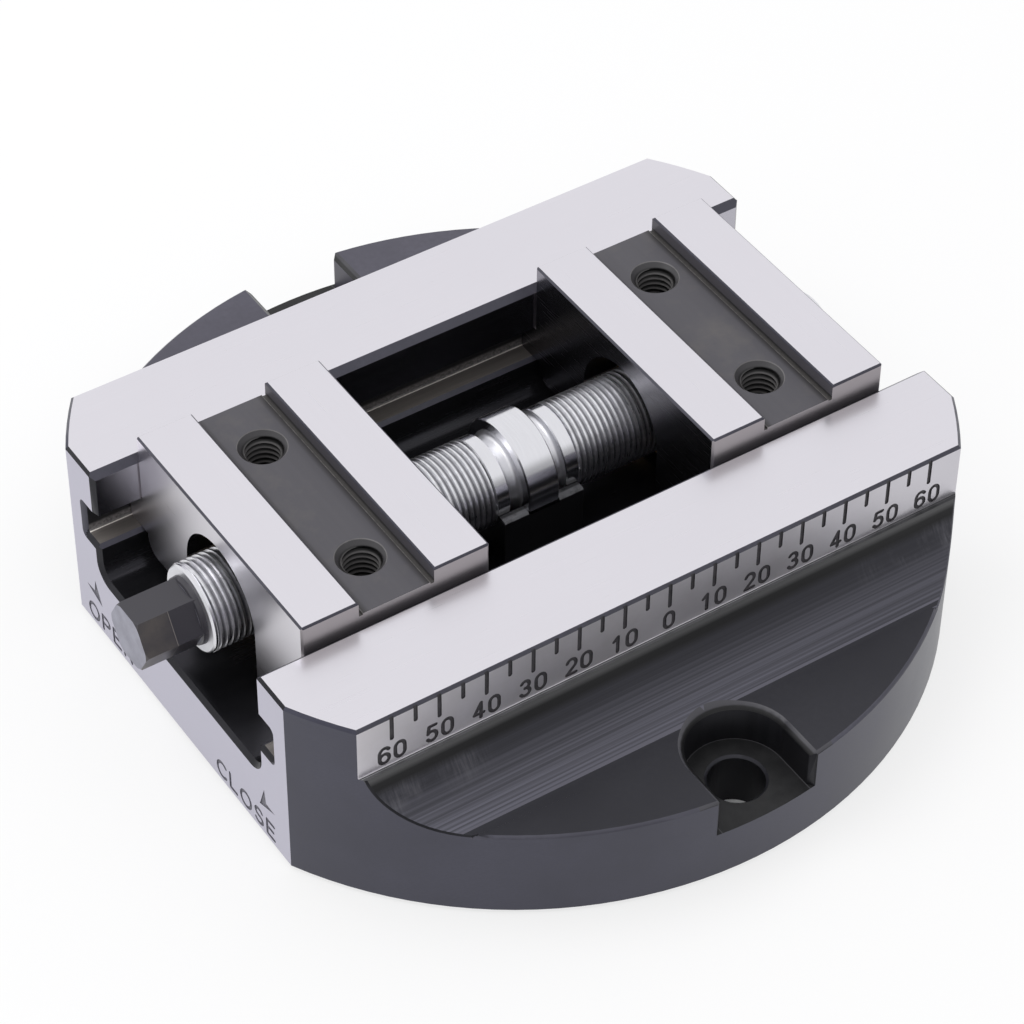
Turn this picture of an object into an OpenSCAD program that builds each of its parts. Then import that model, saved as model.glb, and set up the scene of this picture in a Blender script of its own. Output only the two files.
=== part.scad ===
// Self-centering vise with two carriages on one left and right hand spindle.
// Frame: X along the spindle with its hexagon at -X, Z up, Y across the guide.
// The origin is the centre of the underside of the body. All sizes are in mm.

/* [Body] */
// Diameter of the round blank that the body is turned from
base_d = 170; // [166:1:180]
// Length of the body between its two flat ends
body_l = 150; // [148:1:156]
// Height of the rails above the underside
body_h = 43.5; // [43:0.5:45.5]
// Width of the body over the two scale faces
rail_w = 104; // [100:1:108]
// Height of the clamping flange
flange_h = 21; // [19:0.5:23]
// Height of the ground scale faces below the rail tops
scale_face_h = 12.1; // [11:0.1:13]
// Width of the ledge under each scale face
ledge_w = 1.2; // [0.8:0.1:1.6]
// Radius of the coves between the ledges and the flange
cove_r = 14; // [12:0.5:16]
// Chamfer on the outer edges of the body
body_chamfer = 0.6; // [0.3:0.1:1]
// Chamfer round the edge of the underside
foot_chamfer = 1; // [0.5:0.1:1.5]

/* [Guide] */
// Width of the guide slot between the rails
slot_w = 60; // [58:1:62]
// Height of the slot floor above the underside
slot_floor = 17.4; // [16:0.1:17.8]
// Radius of the corners along the slot floor
floor_corner_r = 3.5; // [2.5:0.5:4.5]
// Width over the side grooves that hold the carriages down
groove_w = 70; // [68:1:72]
// Height of the side grooves' ledges above the underside
groove_floor = 24.9; // [24:0.1:26]
// Opening of the side grooves
groove_h = 8; // [7:0.5:9]
// Corner radius of the side grooves
groove_corner_r = 0.5; // [0.3:0.1:1.5]
// Chamfer along the inner top edges of the rails
slot_chamfer = 1.4; // [0.8:0.1:2]
// Chamfer along the inner edges of the ledges
ledge_chamfer = 0.8; // [0.5:0.1:1.2]
// Chamfer on the slot's edges at the two ends
mouth_chamfer = 0.9; // [0.5:0.1:1.2]
// Running clearance of the ground guide faces
guide_clear = 0.05; // [0.03:0.01:0.08]
// Clearance of faces that don't guide
free_clear = 0.35; // [0.3:0.05:0.5]

/* [Clamping slots] */
// Distance of the clamping holes' centres inside the rim
clamp_inset = 10; // [9:0.5:12]
// Diameter of the clamping holes
clamp_hole_d = 11; // [9:0.5:12]
// Width of the clamping slots
clamp_slot_w = 20; // [18:1:22]
// Height of the slot floor under a clamping screw's head
clamp_floor = 12; // [10:0.5:14]
// Chamfer round the top of the clamping slots
clamp_chamfer = 1.2; // [0.8:0.1:1.5]

/* [Carriages] */
// Gap between the carriages as shown
carriage_gap = 50; // [44:1:56]
// Length of a carriage along the spindle
carriage_l = 40; // [38:1:42]
// Thickness of a carriage between its arch and the key slot
arch_cover = 1.5; // [1:0.25:3]
// Width of the key slot across a carriage
key_w = 16; // [14:1:18]
// Depth of the key slot
key_depth = 3; // [2:0.1:3]
// Width and depth of the relief at the feet of the key slot
relief = 0.8; // [0.5:0.1:0.8]
// Chamfer on the top edges and upright corners of a carriage
carriage_chamfer = 0.4; // [0.3:0.1:0.8]
// Width of a carriage below its tongues
keel_w = 56.6; // [55:0.2:58]
// Gap between a carriage and the slot floor
keel_gap = 3.3; // [2:0.1:4]
// Radius of a carriage's lower corners
keel_r = 3.5; // [2.5:0.5:4]
// Distance between the two jaw screw holes
jaw_hole_spacing = 35; // [33:1:38]
// Core diameter of the jaw screw holes, for an 8 mm thread
jaw_hole_d = 6.8; // [6.4:0.1:7.2]
// Depth of the jaw screw holes to the end of the full core
jaw_hole_depth = 10; // [9:0.5:11]
// Diameter of the countersinks over the jaw screw holes
jaw_sink_d = 9.8; // [9:0.2:10.6]

/* [Spindle] */
// Height of the spindle's axis above the underside
axis_z = 32; // [31.8:0.1:32.2]
// Outer diameter of the thread
thread_d = 18; // [17:0.5:18.5]
// Pitch of the two threads
thread_pitch = 1.25; // [1:0.25:2]
// Length over both threads
thread_l = 143; // [140:1:146]
// Diameter of the thrust collar
collar_d = 22; // [21:0.2:22.6]
// Length of the thrust collar
collar_l = 7; // [6:0.5:7.5]
// Diameter of the two grooves beside the collar
neck_d = 15; // [14:0.5:16]
// Length of a groove beside the collar
neck_l = 2.9; // [2:0.1:3.2]
// Hexagon across its flats
hex_af = 12; // [11:0.5:13]
// Length of the hexagon
hex_l = 13; // [11:0.5:16]
// Chamfer on the hexagon's end
hex_chamfer = 0.5; // [0.3:0.1:1]
// Running clearance round the spindle
spindle_clear = 0.08; // [0.05:0.01:0.1]

/* [Nuts] */
// Thickness of a nut's wall round the thread, which sets the carriages' arches too
nut_wall = 3.5; // [3:0.25:4]
// Length of a nut
nut_l = 24; // [20:1:28]
// Clearance of a nut in its carriage
nut_fit = 0.02; // [0.01:0.01:0.04]
// Chamfer at the ends of a nut's thread
nut_chamfer = 0.8; // [0.4:0.1:1.2]
// Diameter of the pins that lock a nut
nut_pin_d = 4; // [3:0.5:5]

/* [Centre bearing] */
// Length of the bearing block along the spindle
block_l = 18; // [17:0.5:19]
// Width of the bearing block
block_w = 22; // [21.6:0.2:24]
// Height of the bearing block's top above the underside
block_top = 30; // [29:0.5:31]
// Depth of the bearing block's pocket in the slot floor
pocket_depth = 6.4; // [5:0.2:7]
// Axial clearance of the collar in the block
thrust_clear = 0.05; // [0.03:0.01:0.08]
// Diameter of the bearing block's screws
block_screw_d = 5; // [4:0.5:5]
// Distance between the bearing block's screws
block_screw_spacing = 13; // [12:0.5:14]
// Diameter of the bearing block's dowels
dowel_d = 4; // [3:0.5:4]
// Distance between the bearing block's dowels
dowel_spacing = 12; // [11:0.5:12]

/* [Hidden] */
$fn = 96;

// Overrun of every cut past the face it leaves
over = 1;
// Fit of a pin or screw in its hole, on the radius
pin_fit = 0.02;

// Colours as the object shows them
oxide = [0.24, 0.24, 0.27];
ground = [0.85, 0.84, 0.87];
bright = [0.78, 0.78, 0.80];
bronze = [0.70, 0.52, 0.28];
screw_black = [0.14, 0.14, 0.15];

// Body
base_r = base_d / 2;
rail_y = rail_w / 2;
ledge_z = body_h - scale_face_h;
ledge_y = rail_y + ledge_w;
cove_z = flange_h + cove_r;
cove_y = ledge_y + sqrt(pow(cove_r, 2) - pow(cove_z - ledge_z, 2));

// Guide
slot_y = slot_w / 2;
groove_y = groove_w / 2;
groove_top = groove_floor + groove_h;
// Top of the slot's cut, whose upper corners lie above the rails
slot_open_z = body_h + over + floor_corner_r;

// Clamping slots
clamp_y = base_r - clamp_inset;
clamp_r = clamp_slot_w / 2;
// Chamfer on the corners where a clamping slot meets the rim
clamp_mouth_chamfer = 1.3;
// Chamfer at the top of a clamping hole
clamp_hole_chamfer = 0.5;

// Spindle
thread_r = thread_d / 2;
collar_r = collar_d / 2;
neck_r = neck_d / 2;
hex_r = hex_af / 2 / cos(30);
// Depth of a thread of this pitch, taken off the spindle's ends as a chamfer
thread_depth_share = 0.54;
end_chamfer = thread_pitch * thread_depth_share;
// Chamfer on the collar and beside the grooves
collar_chamfer = 0.3;

// Nuts
nut_r = thread_r + nut_wall;
nut_bore_r = thread_r + spindle_clear;
nut_pin_r = nut_pin_d / 2;
// Height of a pin's lower end above the carriage's underside
nut_pin_recess = 0.5;

// Carriages
inner_x = carriage_gap / 2;
mid_x = inner_x + carriage_l / 2;
key_floor = axis_z + nut_r + arch_cover;
carriage_top = key_floor + key_depth;
// Half width of a carriage between the rails
cheek_y = slot_y - guide_clear;
tongue_y = groove_y - free_clear;
tongue_r = groove_corner_r + free_clear;
keel_y = keel_w / 2;
keel_z = slot_floor + keel_gap;
jaw_y = jaw_hole_spacing / 2;
// Place of a nut's pins along the spindle, on the arch's walls
nut_pin_x = inner_x + (carriage_l - nut_l) / 2 + nut_pin_d;

// Centre bearing
block_z = slot_floor - pocket_depth;
saddle_r = thread_r + spindle_clear;
collar_slot_l = collar_l + 2 * thrust_clear;
collar_slot_r = collar_r + free_clear;
block_fit = 0.03;
block_chamfer = 0.4;
screw_r = block_screw_d / 2;
// Radius and socket width of a screw's head as shares of the screw's diameter
screw_head_share = 0.85;
screw_key_share = 0.8;
screw_head_r = block_screw_d * screw_head_share;
screw_head_h = block_screw_d;
// Height of the screw heads' lower faces above the underside
screw_recess = 0.8;
screw_grip = 7.5;
screw_key_af = block_screw_d * screw_key_share;
dowel_r = dowel_d / 2;
dowel_l = 12;

// Turns a drawing of Y and Z into a bar along X, centred on X = 0
module along_x(length) {
  rotate([90, 0, 90])
    translate([0, 0, -length / 2])
      linear_extrude(length)
        children();
}

// Turns a drawing of radius and length into a round piece about the X axis
module round_x() {
  translate([0, 0, axis_z])
    rotate([0, 90, 0])
      rotate_extrude()
        children();
}

// Rectangle between two corners
module rect(y0, z0, y1, z1) {
  translate([y0, z0])
    square([y1 - y0, z1 - z0]);
}

// Rectangle with four round corners, centred on Y = 0
module round_rect(half_w, z0, z1, r) {
  rect(-half_w + r, z0, half_w - r, z1);
  rect(-half_w, z0 + r, half_w, z1 - r);
  for (side = [-1, 1], z = [z0 + r, z1 - r])
    translate([side * (half_w - r), z])
      circle(r);
}

// Diamond whose half diagonal is the chamfer, for cutting an edge
module edge_cut(size) {
  rotate(45)
    square(size * sqrt(2), center = true);
}

// Section of the guide slot and its side grooves
module slot_section() {
  round_rect(slot_y, slot_floor, slot_open_z, floor_corner_r);
  round_rect(groove_y, groove_floor, groove_top, groove_corner_r);
  for (side = [-1, 1]) {
    translate([side * slot_y, body_h])
      edge_cut(slot_chamfer);
    translate([side * slot_y, groove_floor])
      edge_cut(ledge_chamfer);
  }
}

// What is milled away above the flange on one side
module side_section() {
  rect(rail_y, ledge_z, base_r + over, body_h + over);
  rect(cove_y, flange_h, base_r + over, body_h + over);
  intersection() {
    rect(ledge_y, flange_h, cove_y + over, body_h);
    translate([cove_y, cove_z])
      circle(cove_r, $fn = 180);
  }
  translate([rail_y, body_h])
    edge_cut(body_chamfer);
}

// Section of the body across the spindle
module body_section() {
  difference() {
    rect(-base_r, 0, base_r, body_h);
    side_section();
    mirror([1, 0]) side_section();
    slot_section();
  }
}

// Ring that chamfers the round blank at a height, on its upper or lower side
module rim_cut(z, size) {
  translate([0, 0, z])
    rotate_extrude($fn = 180)
      translate([base_r, 0])
        edge_cut(size);
}

// One clamping slot with its hole, on the +Y side
module clamp_slot_cut() {
  translate([0, clamp_y, 0]) {
    translate([0, 0, clamp_floor])
      linear_extrude(body_h)
        union() {
          circle(clamp_r);
          translate([-clamp_r, 0]) square([clamp_slot_w, base_r]);
        }
    cylinder(h = 3 * clamp_floor, d = clamp_hole_d, center = true);
    translate([0, 0, clamp_floor - clamp_hole_chamfer])
      cylinder(h = clamp_hole_chamfer + over, r1 = clamp_hole_d / 2,
               r2 = clamp_hole_d / 2 + clamp_hole_chamfer + over);
    translate([0, 0, flange_h - clamp_chamfer])
      cylinder(h = 2 * clamp_chamfer, r1 = clamp_r, r2 = clamp_r + 2 * clamp_chamfer);
    rotate([-90, 0, 0])
      linear_extrude(base_r)
        polygon([[-clamp_r, clamp_chamfer - flange_h], [clamp_r, clamp_chamfer - flange_h],
                 [clamp_r + 2 * clamp_chamfer, -clamp_chamfer - flange_h],
                 [-clamp_r - 2 * clamp_chamfer, -clamp_chamfer - flange_h]]);
  }
  for (side = [-1, 1])
    translate([side * clamp_r, sqrt(pow(base_r, 2) - pow(clamp_r, 2)), clamp_floor])
      linear_extrude(body_h)
        edge_cut(clamp_mouth_chamfer);
}

// Round rectangle of the slot that widens to a chamfer at the +X end
module mouth_cut(half_w, z0, z1, r) {
  grow = mouth_chamfer + over;
  translate([body_l / 2 - mouth_chamfer, 0, 0]) {
    translate([0, 0, z0 + r])
      linear_extrude(z1 - z0 - 2 * r)
        polygon([[0, -half_w], [grow, -half_w - grow], [grow, half_w + grow], [0, half_w]]);
    rotate([90, 0, 0])
      linear_extrude(2 * (half_w - r), center = true)
        polygon([[0, z0], [grow, z0 - grow], [grow, z1 + grow], [0, z1]]);
    for (side = [-1, 1], z = [z0 + r, z1 - r])
      translate([0, side * (half_w - r), z])
        rotate([0, 90, 0])
          cylinder(h = grow, r1 = r, r2 = r + grow);
  }
}

// Chamfers along one flat end, on the +X side
module end_cuts() {
  for (edge = [[body_h, body_chamfer], [0, foot_chamfer]])
    translate([body_l / 2, 0, edge[0]])
      rotate([90, 0, 0])
        linear_extrude(base_d, center = true)
          edge_cut(edge[1]);
  mouth_cut(slot_y, slot_floor, slot_open_z, floor_corner_r);
  mouth_cut(groove_y, groove_floor, groove_top, groove_corner_r);
}

module vise_body() {
  color(oxide)
    difference() {
      intersection() {
        along_x(body_l) body_section();
        cylinder(h = body_h, r = base_r, $fn = 180);
      }
      rim_cut(body_h, body_chamfer);
      rim_cut(0, foot_chamfer);
      intersection() {
        rim_cut(flange_h, body_chamfer);
        for (side = [-1, 1])
          translate([-base_r, side < 0 ? -base_d : cove_y, 0])
            cube([base_d, base_d - cove_y, body_h]);
      }
      for (turn = [0, 180])
        rotate(turn) {
          clamp_slot_cut();
          end_cuts();
        }
      translate([0, 0, slot_floor])
        cube([block_l + 2 * block_fit, block_w + 2 * block_fit, 2 * pocket_depth], center = true);
      for (side = [-1, 1]) {
        translate([0, side * block_screw_spacing / 2, 0]) {
          cylinder(h = 2 * slot_floor, r = screw_r + pin_fit, center = true);
          cylinder(h = 2 * (screw_recess + screw_head_h), r = screw_head_r + free_clear,
                   center = true);
        }
        translate([side * dowel_spacing / 2, 0, block_z - dowel_l / 2])
          cylinder(h = slot_floor, r = dowel_r + pin_fit);
      }
    }
}

module centre_bearing() {
  color(oxide)
    difference() {
      translate([-block_l / 2, -block_w / 2, block_z])
        cube([block_l, block_w, block_top - block_z]);
      for (side = [-1, 1]) {
        translate([0, side * block_w / 2, block_top])
          rotate([0, 90, 0])
            linear_extrude(2 * block_l, center = true)
              edge_cut(block_chamfer);
        translate([0, side * block_screw_spacing / 2, block_z - over])
          cylinder(h = over + screw_grip + over, r = screw_r + pin_fit);
        translate([side * dowel_spacing / 2, 0, block_z - over])
          cylinder(h = over + dowel_l / 2 + pin_fit, r = dowel_r + pin_fit);
      }
      translate([0, 0, axis_z])
        rotate([0, 90, 0]) {
          cylinder(h = 2 * block_l, r = saddle_r, center = true);
          cylinder(h = collar_slot_l, r = collar_slot_r, center = true);
        }
    }
}

module bearing_screws() {
  color(screw_black)
    for (side = [-1, 1])
      translate([0, side * block_screw_spacing / 2, screw_recess])
        difference() {
          union() {
            cylinder(h = screw_head_h, r = screw_head_r);
            cylinder(h = block_z + screw_grip - screw_recess, r = screw_r);
          }
          translate([0, 0, -over])
            cylinder(h = over + screw_head_h / 2, r = screw_key_af / 2 / cos(30), $fn = 6);
        }
}

module bearing_dowels() {
  color(bright)
    for (side = [-1, 1])
      translate([side * dowel_spacing / 2, 0, block_z - dowel_l / 2])
        cylinder(h = dowel_l, r = dowel_r);
}

// Half of the turned outline of the spindle, from its middle to one end, as length and radius
function spindle_half() = [
  [0, collar_r],
  [collar_l / 2 - collar_chamfer, collar_r],
  [collar_l / 2, collar_r - collar_chamfer],
  [collar_l / 2, neck_r],
  [collar_l / 2 + neck_l - collar_chamfer, neck_r],
  [collar_l / 2 + neck_l, neck_r + collar_chamfer],
  [collar_l / 2 + neck_l, thread_r - collar_chamfer],
  [collar_l / 2 + neck_l + collar_chamfer, thread_r],
  [thread_l / 2 - end_chamfer, thread_r],
  [thread_l / 2, thread_r - end_chamfer],
  [thread_l / 2, 0]
];

module spindle() {
  half = spindle_half();
  last = len(half) - 1;
  color(bright) {
    round_x()
      polygon(concat([for (p = half) [p[1], p[0]]],
                     [for (i = [last : -1 : 1]) [half[i][1], -half[i][0]]]));
    translate([-thread_l / 2 - hex_l, 0, axis_z])
      rotate([0, 90, 0])
        intersection() {
          rotate(90)
            cylinder(h = hex_l + over, r = hex_r, $fn = 6);
          cylinder(h = 2 * hex_l, r1 = hex_r - hex_chamfer, r2 = hex_r - hex_chamfer + 2 * hex_l);
        }
  }
}

// Section of a nut or of the arch round it, round over the spindle and straight down to z0
module arch(r, z0) {
  translate([0, axis_z])
    circle(r);
  rect(-r, z0, r, axis_z);
}

// Section of a carriage across the spindle
module carriage_section() {
  rect(-cheek_y, groove_floor + guide_clear, cheek_y, carriage_top);
  round_rect(tongue_y, groove_floor + guide_clear, groove_top - guide_clear, tongue_r);
  round_rect(keel_y, keel_z, groove_top, keel_r);
}

// One carriage, on the +X side
module carriage() {
  color(ground)
    translate([mid_x, 0, 0])
      difference() {
        along_x(carriage_l) carriage_section();
        along_x(carriage_l + 2 * over) arch(nut_r + nut_fit, slot_floor);
        translate([-key_w / 2, -slot_w, key_floor])
          cube([key_w, 2 * slot_w, carriage_top]);
        for (side = [-1, 1]) {
          translate([side * (key_w - relief) / 2, 0, key_floor])
            cube([relief, 2 * slot_w, relief], center = true);
          translate([side * key_w / 2, 0, carriage_top])
            rotate([90, 0, 0])
              linear_extrude(2 * slot_w, center = true)
                edge_cut(carriage_chamfer);
          translate([side * carriage_l / 2, 0, carriage_top])
            rotate([90, 0, 0])
              linear_extrude(2 * slot_w, center = true)
                edge_cut(carriage_chamfer);
          translate([0, side * cheek_y, carriage_top])
            rotate([0, 90, 0])
              linear_extrude(2 * carriage_l, center = true)
                edge_cut(carriage_chamfer);
          for (end = [-1, 1])
            translate([end * carriage_l / 2, side * cheek_y, groove_top - guide_clear])
              linear_extrude(carriage_top)
                edge_cut(carriage_chamfer);
          translate([0, side * jaw_y, key_floor])
            jaw_hole_cut();
          translate([nut_pin_x - mid_x, side * nut_r, 0])
            cylinder(h = axis_z + pin_fit, r = nut_pin_r + pin_fit);
        }
      }
}

// Core of one jaw screw hole under its countersink, with its mouth at Z = 0
module jaw_hole_cut() {
  hole_r = jaw_hole_d / 2;
  sink_r = jaw_sink_d / 2;
  translate([0, 0, -jaw_hole_depth])
    cylinder(h = jaw_hole_depth + over, r = hole_r);
  translate([0, 0, hole_r - sink_r])
    cylinder(h = 2 * (sink_r - hole_r), r1 = hole_r, r2 = 2 * sink_r - hole_r);
}

// One nut, on the +X side
module nut() {
  mouth = nut_chamfer + over;
  color(bronze)
    difference() {
      translate([mid_x, 0, 0])
        along_x(nut_l) arch(nut_r, keel_z);
      translate([mid_x, 0, axis_z])
        rotate([0, 90, 0]) {
          cylinder(h = nut_l + 2 * over, r = nut_bore_r, center = true);
          for (end = [0, 1])
            mirror([0, 0, end])
              translate([0, 0, nut_l / 2 - nut_chamfer])
                cylinder(h = mouth, r1 = nut_bore_r, r2 = nut_bore_r + mouth);
        }
      for (side = [-1, 1])
        translate([nut_pin_x, side * nut_r, 0])
          cylinder(h = axis_z + pin_fit, r = nut_pin_r + pin_fit);
    }
}

// The two pins of one nut, on the +X side
module nut_pins() {
  color(bright)
    for (side = [-1, 1])
      translate([nut_pin_x, side * nut_r, keel_z + nut_pin_recess])
        cylinder(h = axis_z - keel_z - nut_pin_recess, r = nut_pin_r);
}

module left_carriage() { mirror([1, 0, 0]) carriage(); }
module left_nut() { mirror([1, 0, 0]) nut(); }
module left_nut_pins() { mirror([1, 0, 0]) nut_pins(); }
module right_carriage() { carriage(); }
module right_nut() { nut(); }
module right_nut_pins() { nut_pins(); }

vise_body();
centre_bearing();
bearing_screws();
bearing_dowels();
spindle();
left_carriage();
left_nut();
left_nut_pins();
right_carriage();
right_nut();
right_nut_pins();
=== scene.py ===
# %% [markdown]
# # A self-centering vise on white
# The real object is a round steel body with a milled guide, two ground carriages and one spindle
# with a left and a right hand thread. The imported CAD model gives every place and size, and this
# lesson adds what a photograph shows: engraved scale, cut threads, ground and blackened faces.

# %% Load the frame and keep its box
import math
import bmesh
import bpy
import numpy as np
from mathutils import Matrix, Vector
from mathutils.geometry import delaunay_2d_cdt


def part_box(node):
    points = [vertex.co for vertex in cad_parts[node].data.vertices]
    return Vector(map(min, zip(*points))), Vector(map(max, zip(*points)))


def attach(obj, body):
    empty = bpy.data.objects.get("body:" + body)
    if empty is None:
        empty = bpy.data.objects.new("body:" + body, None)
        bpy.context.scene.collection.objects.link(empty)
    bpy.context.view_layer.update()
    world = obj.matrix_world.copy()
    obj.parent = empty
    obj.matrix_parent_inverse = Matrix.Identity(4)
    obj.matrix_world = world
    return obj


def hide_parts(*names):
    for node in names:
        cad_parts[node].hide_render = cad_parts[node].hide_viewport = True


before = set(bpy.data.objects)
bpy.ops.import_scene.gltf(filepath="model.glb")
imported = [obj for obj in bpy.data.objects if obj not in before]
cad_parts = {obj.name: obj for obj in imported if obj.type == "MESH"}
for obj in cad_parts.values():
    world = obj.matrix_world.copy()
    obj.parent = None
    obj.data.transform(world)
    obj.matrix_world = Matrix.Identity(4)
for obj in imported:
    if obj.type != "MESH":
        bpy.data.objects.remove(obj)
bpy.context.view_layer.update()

MM = 0.001           # a millimetre in Blender's metres
print("nodes:", sorted(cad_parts))

# %% [markdown]
# ## Main sizes
# A vise is drawn from a few main sizes, and the cuts and finishes below find their places by them.
# They could be read off the meshes, but written out they say what they mean. All are in mm. X runs
# along the spindle with the hexagon at -X, the near rail is at -Y, and Z is up.

# %% Main sizes in mm
BLANK_RADIUS = 85.0                     # turned rim of the body
END_X, SCALE_Y = 75.0, 52.0             # flat ends, and the scale faces along the rails
FLANGE_TOP, RAIL_TOP = 21.0, 43.4       # heights; the rails' ground top lies just above the second
GUIDE_Y = 30.0                          # the walls between which the carriages slide
COVE_Y, COVE_Z, COVE_RADIUS = 66.7, 35.0, 14.0
CLAMP_Y = 75.0                          # middle of the round end of each clamping slot
SPINDLE_Z, PITCH = 32.0, 1.25
HOLE_X, HOLE_Y = 45.0, 17.5             # the four jaw screw holes, and the middle of the key slots
print("body", 2 * BLANK_RADIUS, "mm round,", 2 * END_X, "mm between its flat ends")

# %% [markdown]
# ## Camera
# The place and lens come from fitting the numbered scale and the body's corners to the photograph.
# A camera could be aimed with a Track To constraint, but its three axes written out as a matrix
# keep the fitted roll exactly.

# %% Camera
def place(name, data):
    """A new object of the scene that holds the data."""
    thing = bpy.data.objects.new(name, data)
    bpy.context.scene.collection.objects.link(thing)
    return thing


camera_axes = Matrix(((0.83461, 0.37967, -0.39909),       # columns: right, up and back
                      (-0.55079, 0.58512, -0.59520),
                      (0.00753, 0.71658, 0.69747)))
lens = bpy.data.cameras.new("camera")
lens.sensor_width = 36.0
lens.lens = 128.87
lens.clip_start = 0.05
camera = place("camera", lens)
camera.matrix_world = Matrix.Translation((-0.28537, -0.42542, 0.51786)) @ camera_axes.to_4x4()
bpy.context.scene.camera = camera
bpy.context.scene.view_settings.view_transform = "Standard"
print("camera at", [round(v, 3) for v in camera.location])

# %% [markdown]
# ## Mesh helpers
# New surfaces are grids worked out with numpy. A grid has rows and columns of points, and each
# face joins four neighbours. Whole arrays go to Blender in one call, which is quicker than adding
# points one by one.

# %% Make an object from arrays
def make_piece(name, points, faces, body=None, slot=None):
    """A mesh object from an array of points in mm and a list of faces, riding on a CAD body."""
    mesh = bpy.data.meshes.new(name)
    mesh.from_pydata((np.asarray(points, float) * MM).tolist(), [], [list(f) for f in faces])
    mesh.update()
    piece = place(name, mesh)
    if body:
        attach(piece, body)
    return piece


# %% Merge doubles, face outwards and mark the crisp edges
def clean_mesh(mesh, outwards=True, merge=1e-7, crisp=32.0):
    """Joins points closer than merge, turns faces outwards and sharpens edges over crisp
    degrees."""
    work = bmesh.new()
    work.from_mesh(mesh)
    bmesh.ops.remove_doubles(work, verts=work.verts, dist=merge)
    bmesh.ops.dissolve_degenerate(work, edges=work.edges, dist=merge)
    if outwards:
        bmesh.ops.recalc_face_normals(work, faces=work.faces)
    work.to_mesh(mesh)
    work.free()
    mesh.polygons.foreach_set("use_smooth", np.ones(len(mesh.polygons), bool))
    mesh.set_sharp_from_angle(angle=math.radians(crisp))
    mesh.update()


# %% Arrays out of a mesh
def pull(items, attribute, kind=np.float32, columns=3):
    """One attribute of all points, faces or corners of a mesh, as an array of so many columns."""
    values = np.empty(len(items) * columns, kind)
    items.foreach_get(attribute, values)
    return values.reshape(-1, columns)


def face_data(mesh):
    """Centre of each face in mm and its unit normal."""
    return pull(mesh.polygons, "center") / MM, pull(mesh.polygons, "normal")


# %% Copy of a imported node, ready to be cut
def merged_copy(node, name, body):
    """The node's mesh, its loose triangles joined and flat neighbours dissolved into one face."""
    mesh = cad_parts[node].data.copy()
    mesh.name = name
    mesh.materials.clear()
    work = bmesh.new()
    work.from_mesh(mesh)
    bmesh.ops.remove_doubles(work, verts=work.verts, dist=2e-7)
    bmesh.ops.dissolve_limit(work, angle_limit=math.radians(0.2), verts=work.verts,
                             edges=work.edges)
    work.to_mesh(mesh)
    work.free()
    piece = place(name, mesh)
    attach(piece, body)
    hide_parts(node)
    return piece


# %% Cut one piece with another
def cut(piece, cutter):
    """Takes the cutter's volume out of the piece with an exact boolean, then drops the cutter."""
    modifier = piece.modifiers.new("cut", "BOOLEAN")
    modifier.operation = "DIFFERENCE"
    modifier.solver = "EXACT"
    modifier.object = cutter
    depsgraph = bpy.context.evaluated_depsgraph_get()
    result = bpy.data.meshes.new_from_object(piece.evaluated_get(depsgraph))
    piece.modifiers.clear()
    old, piece.data = piece.data, result
    bpy.data.meshes.remove(old)
    bpy.data.objects.remove(cutter)
    print(piece.name, "has", len(result.polygons), "faces after the cut")


# %% [markdown]
# ### Normals of the true shapes
# The CAD mesh draws a round face with flat strips. Smooth shading alone would also bend the light
# on the level faces beside it. So every face corner gets the normal of the shape it belongs to: a
# level face keeps its own, and a corner on a cylinder points away from the cylinder's axis.

# %% Normals worked out from the shapes themselves
LEVEL = 0.9999       # a normal with a part larger than this lies along an axis


def true_normals(piece, *rounds):
    """Writes a normal for every face corner. Each of rounds turns (corner places in mm, normals of
    their faces) into a mask and the normals to use there."""
    mesh = piece.data
    corners = pull(mesh.loops, "vertex_index", np.int32, 1)[:, 0]
    points = pull(mesh.vertices, "co")[corners] / MM
    normals = pull(mesh.corner_normals, "vector")
    own = np.repeat(face_data(mesh)[1], pull(mesh.polygons, "loop_total", np.int32, 1)[:, 0], 0)
    level = np.abs(own).max(1) > LEVEL
    normals[level] = own[level]
    for rule in rounds:
        mask, round_normals = rule(points, own)
        normals[mask] = round_normals[mask]
    mesh.normals_split_custom_set(normals.tolist())


def on_cylinder(away, own, axis, radius, within=0.15):
    """Corners of faces along the axis that lie within a little of the radius, and away / |away|,
    where away is the way from the cylinder's axis (or to it, for a hollow)."""
    length = np.hypot(away[:, 0], away[:, 1])
    mask = (np.abs(own[:, axis]) < 0.01) & (np.abs(own).max(1) < LEVEL)
    unit = away / np.maximum(length, 1e-6)[:, None]
    return mask & (np.abs(length - radius) < within), np.insert(unit, axis, 0, axis=1)


def round_blank(points, own):
    """The turned rim of the body: its normals point straight away from the Z axis."""
    return on_cylinder(points[:, :2], own, 2, BLANK_RADIUS)


def round_cove(points, own):
    """The cove, a hollow along X on both sides of the body: its normals point to its axis."""
    across = np.sign(points[:, 1]) * (COVE_Y - np.abs(points[:, 1]))
    return on_cylinder(np.c_[across, COVE_Z - points[:, 2]], own, 0, COVE_RADIUS)


# %% [markdown]
# ## Engraving
# The scale, its numbers and the direction words are cut into ground faces. A font's outlines
# would copy one typeface, so each figure here is a pen path with a round tip, which is how an
# engraving cutter moves. All the strokes of one face are joined flat first, and then cut at once.

# %% Pen paths of the figures
def arc(cx, cy, rx, ry, start, end, steps=10):
    """Points on an ellipse from one angle to another, in degrees."""
    turn = np.radians(np.linspace(start, end, steps))
    return np.c_[cx + rx * np.cos(turn), cy + ry * np.sin(turn)]


def line(*points):
    """A path through the points given."""
    return np.array(points, float)


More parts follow.
